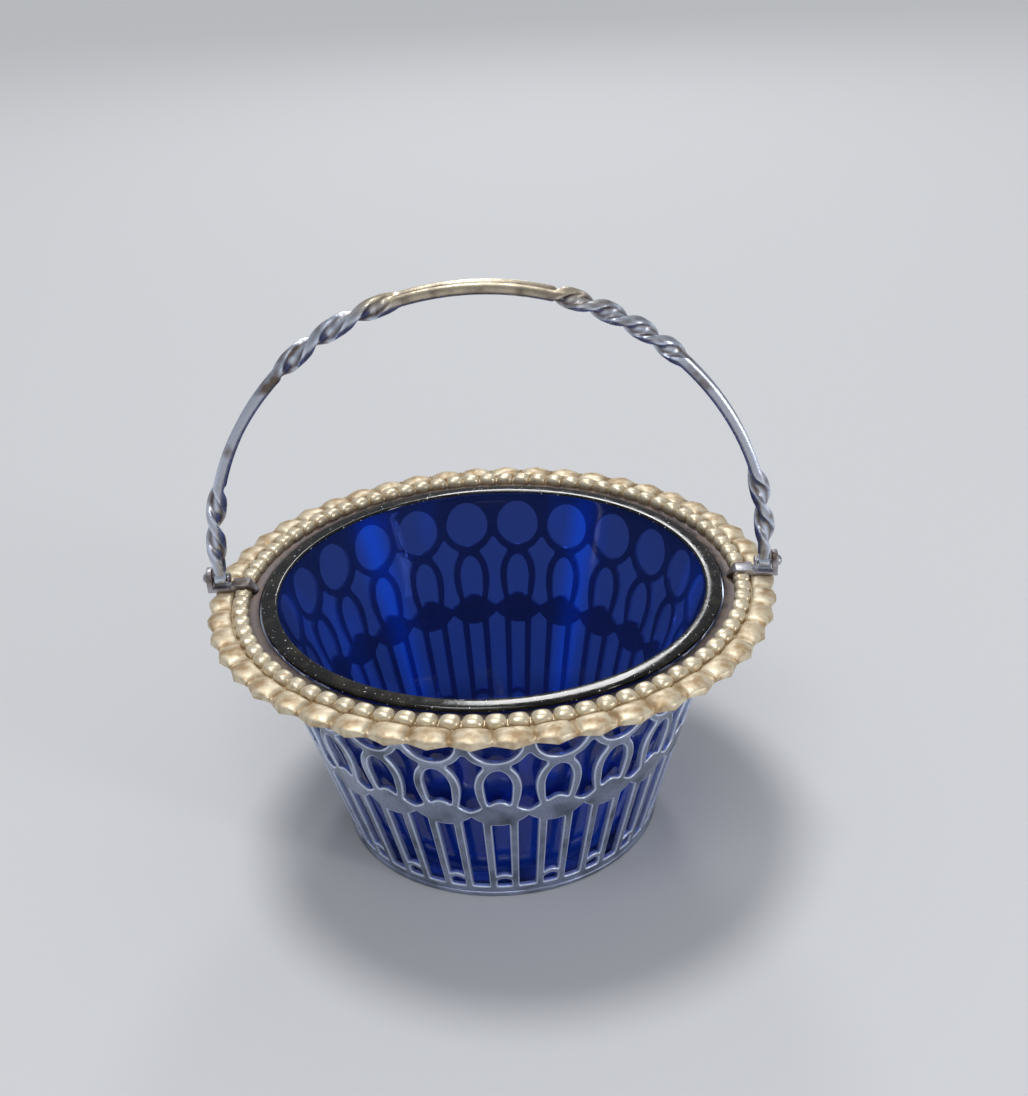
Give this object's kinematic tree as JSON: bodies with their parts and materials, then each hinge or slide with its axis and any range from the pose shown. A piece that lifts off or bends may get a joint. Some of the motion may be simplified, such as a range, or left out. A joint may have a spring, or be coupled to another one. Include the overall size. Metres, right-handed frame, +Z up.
{
  "type": "swing-handle basket",
  "caption": "Round pierced silver basket with flaring sides, a gadrooned and beaded border, a twisted swing handle and a cobalt glass liner.",
  "frame": {"origin": "middle of the foot ring, on the table the basket stands on", "axes": "+Z up; X along the line of the two hinges, with the right hinge of the picture at +X; the handle swings towards +Y and -Y"},
  "size_m": [0.1028, 0.1, 0.1014],
  "materials": {
    "body_silver": "satin",
    "border_silver": "polished",
    "hinge_silver": "polished",
    "handle_silver": "polished",
    "cobalt_glass": "polished"
  },
  "bodies": {
    "basket": {"foot_ring": "body_silver", "base_plate": "body_silver", "pierced_wall": "body_silver", "gadroon_border": "border_silver", "bead_wire": "border_silver", "right_lug": "hinge_silver", "right_rivet": "hinge_silver", "left_lug": "hinge_silver", "left_rivet": "hinge_silver"},
    "handle": {"handle": "handle_silver"},
    "liner": {"glass_liner": "cobalt_glass"}
  },
  "joints": [
    {"name": "handle_swing", "type": "hinge", "parent": "basket", "child": "handle", "pos_m": [0, 0, 0.04915], "axis": [1, 0, 0], "range_deg": [-90, 90]},
    {"name": "liner_lift", "type": "slide", "parent": "basket", "child": "liner", "axis": [0, 0, 1], "range_m": [0, 0.028]}
  ]
}
